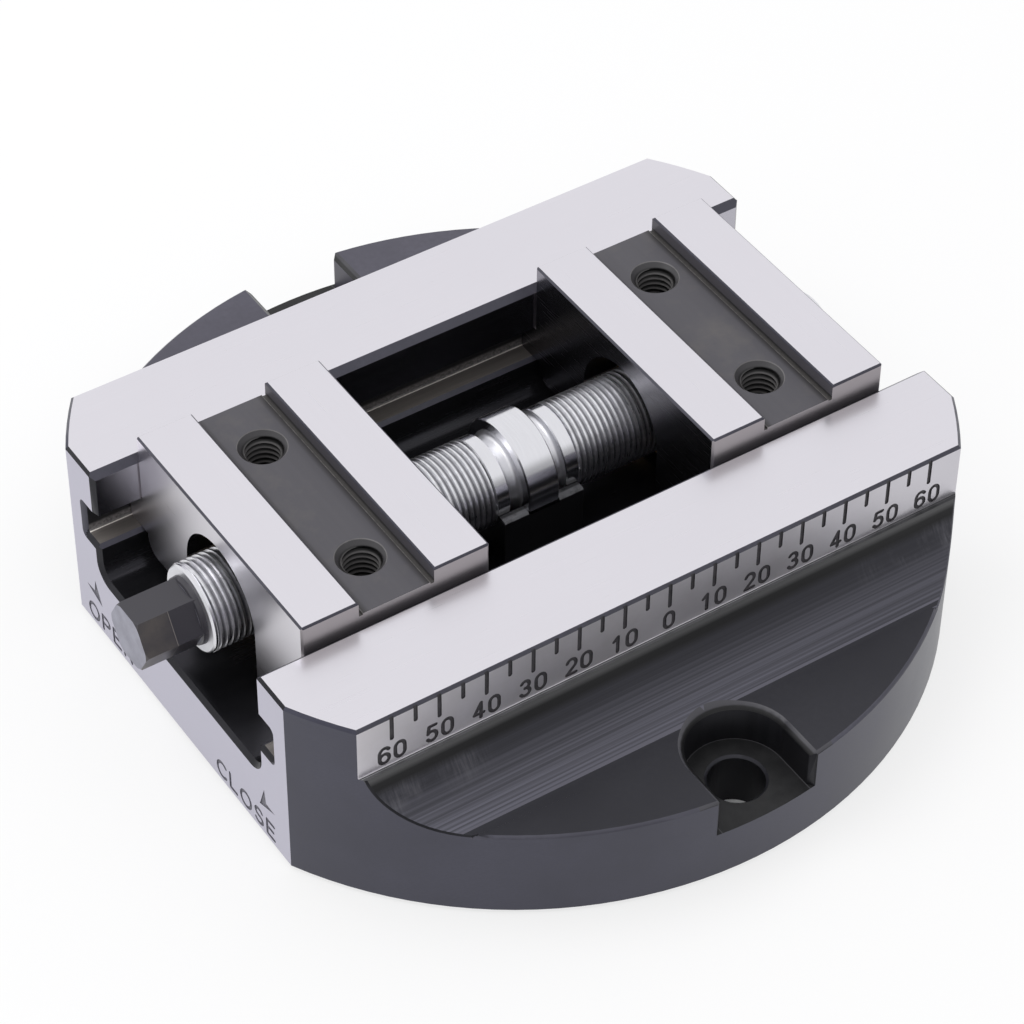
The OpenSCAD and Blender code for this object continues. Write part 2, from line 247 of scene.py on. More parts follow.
FIGURES = {
    "0": [np.vstack([arc(.3, .68, .3, .32, 0, 180), arc(.3, .32, .3, .32, 180, 360), [(.6, .68)]])],
    "1": [line((.1, .76), (.36, 1), (.36, 0))],
    "2": [np.vstack([arc(.3, .7, .29, .3, 165, -38), [(0, 0), (.6, 0)]])],
    "3": [np.vstack([arc(.28, .75, .26, .25, 155, -90), arc(.28, .26, .3, .26, 90, -155)])],
    "4": [line((.6, .27), (0, .27), (.43, 1), (.43, 0))],
    "5": [np.vstack([[(.55, 1), (.12, 1), (.06, .52)], arc(.29, .32, .31, .32, 128, -150)])],
    "6": [arc(.3, .3, .3, .3, 0, 360, 18),
          np.vstack([[(0, .3)], arc(.32, .66, .32, .34, 180, 35)])],
    "O": [arc(.4, .5, .4, .5, 0, 360, 24)],
    "P": [np.vstack([[(0, 0), (0, 1), (.32, 1)], arc(.34, .74, .26, .26, 90, -90), [(0, .48)]])],
    "E": [line((.56, 0), (0, 0), (0, 1), (.56, 1)), line((0, .52), (.48, .52))],
    "N": [line((0, 0), (0, 1), (.6, 0), (.6, 1))],
    "C": [arc(.4, .5, .4, .5, 48, 312, 20)],
    "L": [line((0, 1), (0, 0), (.5, 0))],
    "S": [np.vstack([arc(.28, .75, .27, .25, 25, 270, 12), arc(.28, .25, .29, .25, 90, -155, 12)])],
}
print("figures drawn:", "".join(FIGURES))


# %% Outline of a round-tipped stroke
def capsule(a, b, width, tip=6):
    """The outline of a stroke from a to b: two half circles joined by straight sides."""
    along = np.arctan2(b[1] - a[1], b[0] - a[0])
    half = np.linspace(-np.pi / 2, np.pi / 2, tip)
    ends = [(b, along + half), (a, along + np.pi + half)]
    return np.vstack([np.c_[p[0] + np.cos(t) * width / 2, p[1] + np.sin(t) * width / 2]
                      for p, t in ends])


def write(text, left, right, base, height, width, narrow=1.0):
    """Stroke outlines of a text whose figures are spread evenly from left to right.

    height and width are those of the finished strokes, and narrow squeezes the figures."""
    across = height * narrow
    sizes = [max(stroke[:, 0].max() for stroke in FIGURES[c]) * across for c in text]
    gap = (right - left - width - sum(sizes)) / max(len(text) - 1, 1)
    at, shapes = left + width / 2, []
    for c, size in zip(text, sizes):
        for stroke in FIGURES[c]:
            path = np.array([at, base + width / 2]) + stroke * [across, height - width]
            shapes += [capsule(a, b, width) for a, b in zip(path[:-1], path[1:])]
        at += size + gap
    return shapes


# %% Join flat shapes into one cutter
def stamp(name, shapes, to_space, depth, proud=0.6):
    """A prism over the union of flat shapes. to_space turns (s, t, height) into X, Y and Z."""
    points = [Vector(p) for shape in shapes for p in shape]
    starts = np.cumsum([0] + [len(shape) for shape in shapes])
    faces = [list(range(a, b)) for a, b in zip(starts[:-1], starts[1:])]
    flat, _, tris, _, _, owners = delaunay_2d_cdt(points, [], faces, 1, 1e-5, True)
    tris = np.array([t for t, own in zip(tris, owners) if own])
    flat = np.array([tuple(p) for p in flat])
    edges = np.vstack([tris[:, [0, 1]], tris[:, [1, 2]], tris[:, [2, 0]]])
    seen = set(map(tuple, edges.tolist()))
    rim = np.array([e for e in edges.tolist() if (e[1], e[0]) not in seen])
    n = len(flat)
    top = to_space(flat[:, 0], flat[:, 1], np.full(n, proud))
    low = to_space(flat[:, 0], flat[:, 1], np.full(n, -depth))
    walls = np.c_[rim[:, 1], rim[:, 0], rim[:, 0] + n, rim[:, 1] + n]
    print(name, "joins", len(shapes), "strokes into", len(tris), "triangles")
    return make_piece(name, np.vstack([top, low]),
                      tris.tolist() + (tris[:, ::-1] + n).tolist() + walls.tolist())


# %% [markdown]
# ## Threads
# A screw thread is one profile that climbs as it turns. On a grid with a column for each angle,
# every column is shifted along the axis by its share of the pitch, and after a full turn the
# seam joins a row to the row one pitch further on. Cutting it from a spiral curve would leave
# an open, unclosed skin, so the grid's ends are pressed flat and capped instead.

# %% One threaded shell
def threaded(start, end, pitch, limit, crest, root, columns=96, phases=(0, .3, .56, .72)):
    """Points (along, radius, angle) of a right-hand thread from start to end, and its faces.

    Row k of a pitch has the phase p, and along = start + pitch * (turn + p + angle / 2 pi).
    limit(along) gives the lowest and highest radius allowed there, for end chamfers."""
    per = len(phases)
    turns = int(math.ceil((end - start) / pitch)) + 3
    phase = np.tile(phases, turns) + np.repeat(np.arange(turns), per) - 1.5
    height = np.tile([crest, crest, root, root], turns)
    angle = np.arange(columns) / columns
    along = start + pitch * (phase[:, None] + angle[None, :])
    radius = np.repeat(height[:, None], columns, 1).astype(float)
    low, high = limit(np.clip(along, start, end))
    radius = np.clip(radius, low, high)
    before, after = along <= start, along >= end
    radius = np.where(before, limit(np.full(along.shape, start))[1], radius)
    radius = np.where(after, limit(np.full(along.shape, end))[1], radius)
    along = np.clip(along, start, end)
    rows = len(phase)
    grid = np.arange(rows * columns).reshape(rows, columns)
    inner = np.stack([grid[:-1, :-1], grid[:-1, 1:], grid[1:, 1:], grid[1:, :-1]], -1)
    last, first = grid[:, -1], grid[:, 0]
    seam = np.stack([last[:-1 - per], first[per:-1], first[per + 1:], last[1:rows - per]], -1)
    faces = inner.reshape(-1, 4).tolist() + seam.tolist()
    caps = [grid[0].tolist(), grid[-1][::-1].tolist()]
    angles = np.repeat(angle[None, :] * 2 * np.pi, rows, 0)
    return np.stack([along, radius, angles], -1).reshape(-1, 3), faces + caps


# %% Plain turned shells
def swept(along, radius):
    """A closed shell from arrays with a row for each ring and a column for each angle: points
    (along, radius, angle), ring joined to ring, and both ends capped."""
    rows, columns = radius.shape
    angle = np.arange(columns) / columns * 2 * np.pi
    points = np.stack([along, radius, np.repeat(angle[None, :], rows, 0)], -1).reshape(-1, 3)
    grid = np.arange(rows * columns).reshape(rows, columns)
    ring = np.roll(grid, -1, 1)
    faces = np.stack([grid[:-1], ring[:-1], ring[1:], grid[1:]], -1).reshape(-1, 4).tolist()
    return points, faces + [grid[0].tolist(), grid[-1][::-1].tolist()]


def turned(profile, columns=96):
    """A solid of revolution: each (along, radius) of the profile swept round."""
    along, radius = np.array(profile, float).T[:, :, None].repeat(columns, 2)
    return swept(along, radius)


def about_x(points):
    """Points given as (along, radius, angle) turned into X, Y and Z about the spindle's axis."""
    along, radius, angle = points.T
    return np.c_[along, radius * np.sin(angle), SPINDLE_Z + radius * np.cos(angle)]


def join_shells(*shells):
    """Several (points, faces) as one, with the face numbers moved on."""
    points, faces, start = [], [], 0
    for p, f in shells:
        points.append(p)
        faces += [[i + start for i in face] for face in f]
        start += len(p)
    return np.vstack(points), faces


# %% [markdown]
# ## Finishes
# The vise has few materials but many finishes: faces ground bright after blackening, blackened
# faces in several degrees of gloss, and bare turned steel. Two effects return in most of them,
# so each is a node group: lines left by a tool, and clouds of oil or oxide. Node trees could be
# clicked together by hand, but one helper that makes a node and joins it up keeps them readable.

# %% One shader node with its inputs
def add_node(tree, kind, *sources, operation=None, **named):
    """Adds a node. Its inputs, in their order or by name, take values or other nodes' outputs."""
    node = tree.nodes.new("ShaderNode" + kind)
    if operation:
        node.operation = operation
    by_name = [(node.inputs[label.replace("_", " ")], value) for label, value in named.items()]
    for socket, value in [*zip(node.inputs, sources), *by_name]:
        if isinstance(value, bpy.types.NodeSocket):
            tree.links.new(value, socket)
        else:
            socket.default_value = value
    return node


# %% A node group with named sockets
VECTOR, FLOAT = "NodeSocketVector", "NodeSocketFloat"


def node_group(name, result, **inputs):
    """A shader node group with the input Place, further inputs with their values, and one number
    as its result. Gives the group, its inputs and the socket of its result."""
    group = bpy.data.node_groups.new(name, "ShaderNodeTree")
    group.interface.new_socket(name="Place", in_out="INPUT", socket_type=VECTOR)
    for label, value in inputs.items():
        kind = VECTOR if isinstance(value, tuple) else FLOAT
        socket = group.interface.new_socket(name=label, in_out="INPUT", socket_type=kind)
        socket.default_value = value
    group.interface.new_socket(name=result, in_out="OUTPUT", socket_type=FLOAT)
    given = group.nodes.new("NodeGroupInput").outputs
    return group, given, group.nodes.new("NodeGroupOutput").inputs[result]


# %% Tool lines
tool_lines, given, lines_result = node_group(
    "tool_lines", "Lines", Stretch=(60, 3000, 3000), Contrast=1.0)
stretched = add_node(tool_lines, "VectorMath", given["Place"], given["Stretch"],
                     operation="MULTIPLY")
grain = add_node(tool_lines, "TexNoise", Vector=stretched.outputs[0], Scale=1.0, Detail=3.0)
centred = add_node(tool_lines, "Math", grain.outputs["Fac"], 0.5, operation="SUBTRACT")
sharpened = add_node(tool_lines, "Math", centred.outputs[0], given["Contrast"], 0.5,
                     operation="MULTIPLY_ADD")
sharpened.use_clamp = True
tool_lines.links.new(sharpened.outputs[0], lines_result)
print("tool_lines takes", [socket.name for socket in given if socket.name])

# %% Clouds
clouds, given, cloud_result = node_group("clouds", "Cloud", Size=60.0, Low=0.35, High=0.65)
puff = add_node(clouds, "TexNoise", Vector=given["Place"], Scale=given["Size"], Detail=5.0,
                Roughness=0.6)
window = add_node(clouds, "MapRange", Value=puff.outputs["Fac"], From_Min=given["Low"],
                  From_Max=given["High"])
clouds.links.new(window.outputs["Result"], cloud_result)
print("clouds takes", [socket.name for socket in given if socket.name])


# %% A finish built from tool lines, clouds and places
class Finish:
    """A material with a Principled shader, and short calls that feed its sockets. Places are the
    piece's own coordinates, and the calls take them in mm."""

    def __init__(self, name, color, metallic, roughness, shine=0.5):
        self.material = bpy.data.materials.new(name)
        self.material.use_nodes = True
        self.material.diffuse_color = (*color, 1)
        self.tree = self.material.node_tree
        self.shader = self.tree.nodes["Principled BSDF"]
        for label, value in (("Base Color", (*color, 1)), ("Metallic", metallic),
                             ("Roughness", roughness), ("Specular IOR Level", shine)):
            self.shader.inputs[label].default_value = value
        self.place = self.node("TexCoord").outputs["Object"]

    def node(self, kind, *sources, **named):
        """A node of this material."""
        return add_node(self.tree, kind, *sources, **named)

    def group(self, group, **values):
        """A node group at the piece's own coordinates, and its only output."""
        node = self.node("Group")
        node.node_tree = group
        self.tree.links.new(self.place, node.inputs["Place"])
        for label, value in values.items():
            node.inputs[label].default_value = value
        return node.outputs[0]

    def lines(self, *stretch, contrast=1.2):
        """Tool lines along the axis whose stretch is small."""
        return self.group(tool_lines, Stretch=stretch, Contrast=contrast)

    def cloud(self, size, low=0.35, high=0.65):
        """Clouds that turn from 0 to 1 while their noise goes from low to high."""
        return self.group(clouds, Size=size, Low=low, High=high)

    def math(self, operation, *values):
        """One math node on outputs or numbers."""
        return self.node("Math", *values, operation=operation).outputs[0]

    def times(self, *factors):
        """The product of two or more factors."""
        product = factors[0]
        for factor in factors[1:]:
            product = self.math("MULTIPLY", product, factor)
        return product

    def axis(self, letter):
        """One of the piece's own coordinates."""
        return self.node("SeparateXYZ", self.place).outputs[letter]

    def side(self, letter):
        """How far a place lies from the middle, on either side of it."""
        return self.math("ABSOLUTE", self.axis(letter))

    def gap(self, output, at):
        """How far an output lies from a place in mm, below or above it."""
        return self.math("ABSOLUTE", self.math("SUBTRACT", output, at * MM))

    def apart(self, a, b):
        """The square root of a * a + b * b."""
        return self.math("SQRT", self.math("ADD", self.times(a, a), self.times(b, b)))

    def above(self, output, at):
        """1 where the output is over a place in mm."""
        return self.math("GREATER_THAN", output, at * MM)

    def below(self, output, at):
        """1 where the output is under a place in mm."""
        return self.math("LESS_THAN", output, at * MM)

    def thin_line(self, output, at, half):
        """1 within half of a place, both in mm."""
        return self.math("COMPARE", output, at * MM, half * MM)

    def spread(self, factor, low, high, start=0.0, end=1.0):
        """A number that runs from low to high while the factor goes from start to end."""
        return self.node("MapRange", Value=factor, From_Min=start, From_Max=end, To_Min=low,
                         To_Max=high).outputs["Result"]

    def ramp(self, output, start, end, low=0.0, high=1.0):
        """The same over a stretch from start to end in mm."""
        return self.spread(output, low, high, start * MM, end * MM)

    def blend(self, factor, first, second):
        """A colour between two, by a factor from 0 to 1; each is a colour or an output."""
        node = self.tree.nodes.new("ShaderNodeMix")
        node.data_type = "RGBA"
        self.tree.links.new(factor, node.inputs["Factor"])
        for socket, value in ((node.inputs["A"], first), (node.inputs["B"], second)):
            if isinstance(value, tuple):
                socket.default_value = (*value, 1)
            else:
                self.tree.links.new(value, socket)
        return node.outputs["Result"]

    def color(self, base, *coats):
        """The colour: a base and coats over it, each a pair of mask and colour."""
        for mask, tone in coats:
            base = self.blend(mask, base, tone)
        self.tree.links.new(base, self.shader.inputs["Base Color"])

    def roughness(self, factor, low, high):
        """Roughness that runs from low to high with the factor."""
        self.tree.links.new(self.spread(factor, low, high), self.shader.inputs["Roughness"])

    def bump(self, height, depth_mm, strength):
        """Raises the surface by up to depth_mm where the height is 1."""
        node = self.node("Bump", Height=height, Distance=depth_mm * MM, Strength=strength)
        self.tree.links.new(node.outputs["Normal"], self.shader.inputs["Normal"])

    def done(self):
        """Prints what was made and gives the material."""
        print("finish", self.material.name, "has", len(self.tree.nodes), "nodes")
        return self.material


# %% [markdown]
# ### Ground steel
# Surface grinding leaves hair lines along one direction and a bright, slightly hazy mirror. The
# lines could be an image, but stretched noise never repeats and needs no file. They move the
# roughness and tint a little, and the bump is far under a hundredth of a millimetre.

# %% Ground steel
def ground_steel(name, color, stretch, roughness=(0.26, 0.32)):
    """Bright steel with grinding lines along the axis whose stretch is small."""
    finish = Finish(name, color, 1.0, sum(roughness) / 2)
    marks = finish.lines(*stretch)
    lined, hazy = [tuple(c * share for c in color) for share in (0.965, 0.98)]
    haze = finish.blend(finish.cloud(28, 0.3, 0.7), color, hazy)
    finish.color(finish.blend(marks, lined, haze))
    finish.roughness(marks, *roughness)
    finish.bump(marks, 0.0006, 0.3)
    return finish.done()


STEEL = (0.74, 0.722, 0.765)
ground_x = ground_steel("ground_along_x", STEEL, (40, 5200, 5200))
ground_y = ground_steel("ground_along_y", STEEL, (5200, 40, 5200))
# end_face is ground steel painted darker than the tops, as painted shade
end_face = ground_steel("end_face", (0.553, 0.541, 0.624), (3000, 60, 3000), (0.40, 0.48))
rail_wall = ground_steel("rail_wall", (0.46, 0.45, 0.50), (40, 3000, 3000), (0.16, 0.24))
inner_face = ground_steel("inner_face", (0.22, 0.216, 0.235), (3000, 60, 3000), (0.22, 0.30))
guide_face = ground_steel("guide_face", (0.52, 0.49, 0.49), (40, 3000, 3000), (0.38, 0.46))
pin_steel = ground_steel("pin_steel", (0.66, 0.66, 0.68), (3000, 3000, 60))

# %% [markdown]
# ### The scale's face
# The near rail's side is ground too. Its middle is painted darker, as a painted reflection of the
# dark flange below it, and its far end a little darker as painted shade. One colour with two masks
# along X does this, where a second material would leave an edge.

# %% Scale face
def scale_steel():
    """Satin steel: a painted reflection darkens its middle, and painted shade its far end."""
    finish = Finish("scale_face", (0.70, 0.68, 0.72), 1.0, 0.5)
    marks, haze = finish.lines(60, 3000, 3000), finish.cloud(60)
    # the darker middle is a painted reflection of the flange, the darker far end is painted shade
    dull = finish.blend(haze, (0.48, 0.465, 0.49), (0.57, 0.555, 0.59))
    finish.color(finish.blend(haze, (0.66, 0.64, 0.67), (0.76, 0.74, 0.79)),
                 (finish.ramp(finish.side("X"), 20, 50, 1.0, 0.0), dull),
                 (finish.ramp(finish.axis("X"), 15, 66), (0.62, 0.606, 0.645)))
    finish.roughness(marks, 0.46, 0.54)
    return finish.done()


scale_face = scale_steel()

# %% [markdown]
# ### Blackened steel
# Black oxide is a skin a thousandth of a millimetre thick, rubbed with oil. It is no paint: the
# milling under it still shows, it shines at a low angle, and it turns slate grey in the light.
# One function makes it in the degrees that the turned rim, the flange and the insides need.

# %% Blackened steel
def black_oxide(name, color, roughness, stretch=(900, 900, 900), shine=0.5):
    """Dark oxide with tool lines under it and clouds of oil on it."""
    finish = Finish(name, color, 0.0, sum(roughness) / 2, shine)
    finish.shader.inputs["Specular Tint"].default_value = (0.90, 0.90, 1.0, 1)
    marks, oil = finish.lines(*stretch), finish.cloud(45)
    pale = tuple(c * 1.55 + 0.004 for c in color)
    finish.color(finish.blend(oil, color, finish.blend(marks, color, pale)))
    finish.roughness(finish.times(oil, marks), *roughness)
    finish.bump(marks, 0.001, 0.5)
    return finish.done()


BLACK = (0.006, 0.006, 0.007)
oxide = black_oxide("oxide_turned", (0.028, 0.028, 0.043), (0.30, 0.40), (1400, 1400, 5200))
oxide_edge = black_oxide("oxide_edge", (0.044, 0.043, 0.056), (0.35, 0.45))
oxide_flange = black_oxide("oxide_flange", (0.012, 0.012, 0.015), (0.42, 0.55), shine=0.42)
oxide_inside = black_oxide("oxide_inside", BLACK, (0.22, 0.32), (40, 1200, 1200), shine=0.35)
# a lighter copy of the flange's oxide, as painted light for the parts behind the far rail
oxide_rear_painted_light = black_oxide("oxide_rear_painted_light", (0.058, 0.055, 0.072), (0.38, 0.50))
slot_wall = black_oxide("slot_wall", (0.004, 0.004, 0.005), (0.42, 0.52), (900, 900, 40),
                        shine=0.3)
screw_black = black_oxide("screw_black", (0.020, 0.020, 0.022), (0.25, 0.4))

# %% [markdown]
# ### Key slots
# A key slot is milled across each carriage. Its floor is matt with faint stains. Painted shade
# darkens it towards the walls, and a speckled painted highlight lies right at their foot. Each of
# these could be a face of its own, but the distance from the slot's middle already tells them apart,
# so coats of colour over that distance are enough.

# %% Key slots of the carriages
def key_slot_finish():
    """Coats by the distance from the slot's middle, then the walls and the face by height."""
    finish = Finish("key_slot", (0.040, 0.038, 0.041), 0.0, 0.5)
    brushed = finish.lines(900, 30, 900)
    off, height = finish.gap(finish.side("X"), HOLE_X), finish.axis("Z")
    speckled = finish.blend(finish.cloud(900), (0.070, 0.066, 0.065), (0.170, 0.160, 0.155))
    finish.color(finish.blend(brushed, (0.060, 0.057, 0.067), (0.074, 0.071, 0.082)),
                 (finish.cloud(120, 0.52, 0.72), (0.088, 0.082, 0.085)),    # stains
                 (finish.ramp(off, 5.8, 6.9), (0.024, 0.022, 0.024)),       # painted shade by the wall
                 (finish.above(off, 7.05), speckled),                       # painted highlight line at its foot
                 (finish.above(off, 7.20), (0.068, 0.064, 0.062)),
                 (finish.above(height, 46.02), (0.020, 0.019, 0.020)),      # shade above the line
                 (finish.above(height, 46.40), (0.075, 0.071, 0.082)))      # wall
    finish.roughness(brushed, 0.42, 0.55)
    return finish.done()


key_slot = key_slot_finish()

# %% [markdown]
# ### Tapped holes
# The thread's crests are painted bright and its grooves black, as painted light and shade. The
# distance from the hole's own middle gives both, and since the four holes stand alike on both sides
# of the middle, one rule on |x| and |y| serves them all.

# %% Tapped holes of the carriages
def tapped_finish():
    """Crests painted light and grooves painted as shade, and by height and width the countersink and
    its rim.
    """
    finish = Finish("tapped", (0.05, 0.05, 0.05), 0.0, 0.35)
    radius = finish.apart(finish.gap(finish.side("X"), HOLE_X),
                          finish.gap(finish.side("Y"), HOLE_Y))
    # painted light on the crests and painted shade in the grooves
    finish.color(finish.blend(finish.ramp(radius, 3.50, 3.85), (0.13, 0.125, 0.125),
                              (0.004, 0.004, 0.004)),
                 (finish.ramp(finish.axis("Z"), 44.9, 45.2), (0.040, 0.038, 0.041)),
                 (finish.above(radius, 4.75), (0.125, 0.120, 0.122)))
    return finish.done()


tapped = tapped_finish()

# %% [markdown]
# ### The milled cove
# A form cutter runs along the rail and leaves lengthwise streaks, a bright line where its corner
# ends, and cross marks where it shakes at both ends. Real ridges of a micrometre would need
# millions of faces, so noise stretched along X draws them in colour and in a slight bump.

# %% Milled cove
def milled_cove():
    """Streaks that fade with height and towards the far end, chatter near both ends, and bands
    by height: painted shadow black under the lip, painted reflection grey on the lip, and the foot
    line."""
    finish = Finish("oxide_cove", (0.022, 0.022, 0.024), 0.0, 0.35, shine=0.3)
    streaks = finish.lines(8, 2600, 2600, contrast=3.4)
    chatter = finish.lines(2400, 260, 260, contrast=3.0)
    height = finish.axis("Z")
    light = finish.times(finish.spread(streaks, 0.25, 0.8),
                         finish.ramp(finish.axis("X"), -60, 60, 1.25, 0.7),
                         finish.ramp(height, 21.2, 26.5, 1.0, 0.12))
    crossed = finish.times(chatter, finish.cloud(70, 0.42, 0.6),
                           finish.ramp(finish.side("X"), 40, 52), finish.ramp(height, 23.5, 25.0))
    finish.color(finish.blend(light, (0.022, 0.022, 0.028), (0.130, 0.129, 0.162)),
                 (crossed, (0.095, 0.094, 0.108)),
                 # painted shadow: the black band under the lip
                 (finish.ramp(height, 27.4, 28.8), BLACK),
                 # painted reflection: the grey band on the lip
                 (finish.ramp(height, 29.8, 30.8), (0.075, 0.075, 0.077)),
                 (finish.below(height, 21.12), (0.105, 0.103, 0.128)))
    finish.roughness(finish.lines(40, 6000, 6000, contrast=1.5), 0.36, 0.48)
    finish.bump(streaks, 0.002, 0.4)
    return finish.done()


oxide_cove = milled_cove()

# %% [markdown]
# ### Ledges
# The carriages' tongues slide on two ledges and rub their oxide brown. Beside the scale lies a
# narrower ledge. Both have painted highlight lines a tenth of a millimetre wide where corners and
# edges catch the light, and painted shade beside them. Real lines would need very thin faces, so
# they are masks on the distance from the middle, |y|.

# %% Ledges that carry the carriages
def ledge_finish():
    """Brown floor, hatched strip painted lit, a painted corner highlight and painted shadow up the
    wall.
    """
    finish = Finish("ledge", (0.06, 0.055, 0.052), 0.0, 0.4)
    rubbed = finish.lines(30, 900, 900, contrast=1.6)
    hatched = finish.blend(finish.lines(2600, 900, 2600, contrast=2.4), (0.070, 0.066, 0.066),
                           (0.230, 0.215, 0.210))
    across = finish.side("Y")
    finish.color(finish.blend(rubbed, (0.100, 0.091, 0.085), (0.200, 0.182, 0.168)),
                 # hatched strip: real tool marks, lightened as painted light where the corner's
                 # round catches light
                 (finish.ramp(across, 34.68, 34.72), hatched),
                 # painted highlight in the corner
                 (finish.thin_line(across, 34.62, 0.13), (0.90, 0.84, 0.78)),
                 # painted shadow from the wall up
                 (finish.ramp(finish.axis("Z"), 26.2, 26.8), (0.010, 0.010, 0.011)))
    finish.roughness(rubbed, 0.34, 0.46)
    return finish.done()


guide_ledge = ledge_finish()

# %% Narrow ledge under the scale
def scale_ledge_finish():
    """Two painted highlight lines, a grey band beside the scale face, painted shade towards the far
    end.
    """
    finish = Finish("scale_ledge", (0.07, 0.07, 0.074), 0.0, 0.4)
    across, dark = finish.side("Y"), (0.022, 0.022, 0.024)
    finish.color(finish.blend(finish.ramp(across, 52.5, 52.6), dark, (0.095, 0.095, 0.098)),
                 # painted highlights on the ledge's edges
                 (finish.thin_line(across, 52.10, 0.12), (0.62, 0.61, 0.63)),
                 (finish.thin_line(across, 52.52, 0.07), (0.30, 0.30, 0.31)),
                 # painted shade towards the far end
                 (finish.ramp(finish.axis("X"), 20, 60, 0.0, 0.75), dark))
    return finish.done()


scale_ledge = scale_ledge_finish()

# %% [markdown]
# ### Clamping slots
# The two open slots of the flange are black and lighter only at the upper edge of their chamfer.
# A pale painted highlight lies as a line at the foot of the wall. That line follows the slot's
# outline, so its mask is the distance from the slot's middle line: |x| along the straight part, and
# beyond the middle of the round end the distance from that middle.

# %% Rims and floors of the clamping slots
def clamp_rim_finish():
    """Black below and lighter at the top of the chamfer."""
    finish = Finish("clamp_rim", (0.044, 0.043, 0.054), 0.0, 0.42)
    finish.color(finish.blend(finish.ramp(finish.axis("Z"), 20.35, 20.55), BLACK,
                              (0.050, 0.049, 0.058)))
    return finish.done()


def slot_floor_finish():
    """Matt oxide with a thin pale painted highlight at the distance of the wall's foot."""
    finish = Finish("slot_floor", (0.009, 0.009, 0.010), 0.0, 0.5, shine=0.35)
    inside = finish.math("SUBTRACT", CLAMP_Y * MM, finish.side("Y"))
    away = finish.apart(finish.axis("X"), finish.math("MAXIMUM", inside, 0.0))
    # painted highlight: the thin pale line at the foot of the wall
    finish.color(finish.blend(finish.cloud(300), (0.008, 0.008, 0.009), (0.016, 0.016, 0.017)),
                 (finish.thin_line(away, 9.92, 0.1), (0.060, 0.059, 0.064)))
    return finish.done()


clamp_rim, slot_floor = clamp_rim_finish(), slot_floor_finish()

# %% [markdown]
# ### Engraved and etched marks
# The scale is cut and its grooves hold dark oxide. The words are etched more shallowly and look
# paler. Both are matt, with a grain of burrs in place of lines.

# %% Marks
def cut_mark(name, dark, pale):
    """The bottom of a mark: matt, with burrs in colour and bump."""
    finish = Finish(name, dark, 0.0, 0.6)
    burr = finish.cloud(900)
    finish.color(finish.blend(burr, dark, pale))
    finish.bump(burr, 0.02, 0.5)
    return finish.done()


engraved = cut_mark("engraved", (0.026, 0.024, 0.028), (0.050, 0.046, 0.052))
etched = cut_mark("etched", (0.100, 0.097, 0.118), (0.150, 0.147, 0.175))

# %% [markdown]
# ### Turned steel of the spindle
# The thread is bright on its crests and painted dark in its roots, as painted shade. The distance
# from the spindle's axis tells crest from root, so the colour follows it, whatever way the spindle
# turns.

# %% Thread and collar
def spindle_radius(finish):
    """Distance from the spindle's axis, from the piece's own Y and Z."""
    return finish.apart(finish.gap(finish.axis("Z"), SPINDLE_Z), finish.axis("Y"))


def turned_steel():
    """Bare steel: painted shade at the root radius, rings and painted reflection streaks on the
    crests.
    """
    finish = Finish("turned_steel", (0.7, 0.7, 0.73), 1.0, 0.2)
    rings = finish.lines(5000, 260, 260, contrast=1.8)
    bright = finish.blend(rings, (0.78, 0.78, 0.81), (0.94, 0.94, 0.97))
    # painted reflection: streaks along the axis on the crests
    painted_reflection_streaks = finish.blend(finish.lines(90, 1000, 1000, contrast=1.7), (0.64, 0.64, 0.66), bright)
    # painted shade: dark at the root radius
    finish.color(finish.blend(finish.ramp(spindle_radius(finish), 8.3, 8.8), (0.36, 0.36, 0.38),
                              painted_reflection_streaks))
    finish.roughness(rings, 0.24, 0.36)
    finish.bump(finish.cloud(1400), 0.012, 0.5)
    return finish.done()


def collar_finish():
    """Finely turned steel, matt in the grooves and bright from the radius of the lands."""
    finish = Finish("collar_steel", (0.82, 0.82, 0.84), 1.0, 0.16)
    rings = finish.lines(6000, 200, 200)
    finish.color(finish.blend(rings, (0.70, 0.70, 0.73), (0.77, 0.77, 0.80)))
    finish.roughness(finish.ramp(spindle_radius(finish), 8.6, 8.9), 0.40, 0.17)
    return finish.done()


thread_steel, collar_steel = turned_steel(), collar_finish()

# %% [markdown]
# ### The hexagon
# The wrench rubs the black hexagon brown and grey as far as it reaches, and its edge leaves a fine
# line across the flats. Masks along X and Y keep both to the flats that the photograph shows worn.

# %% Hexagon and the spindle's end
def hexagon_finish():
    """Black, rubbed in clouds up to the line of the wrench's edge."""
    finish = Finish("hexagon_black", (0.05, 0.047, 0.05), 0.0, 0.35)
    rub, along = finish.cloud(150, 0.3, 0.6), finish.axis("X")
    front = finish.ramp(finish.axis("Y"), -3.6, -3.3, 1.0, 0.0)
    wear_and_painted_light = finish.times(rub, finish.ramp(along, -78.2, -77.8, 1.0, 0.0), front)
    finish.color(finish.blend(wear_and_painted_light, (0.036, 0.034, 0.042), (0.075, 0.066, 0.063)),
                 (finish.times(finish.thin_line(along, -77.9, 0.07), front), (0.19, 0.17, 0.16)))
    finish.roughness(rub, 0.30, 0.42)
    return finish.done()


def spindle_end_finish():
    """The sawn and faced end of the bar: dull grey with faint clouds."""
    finish = Finish("spindle_end", (0.29, 0.29, 0.34), 0.6, 0.42)
    finish.color(finish.blend(finish.cloud(240), (0.235, 0.235, 0.285), (0.31, 0.31, 0.37)))
    return finish.done()


hexagon_black, spindle_end = hexagon_finish(), spindle_end_finish()

# %% [markdown]
# ### Bronze nuts and the bearing block
# The nuts are turned bronze, gone brown. The bearing block is black, and the strips on top of its
# two cheeks are painted lighter as painted light. The cheeks' place is taken from the imported node.

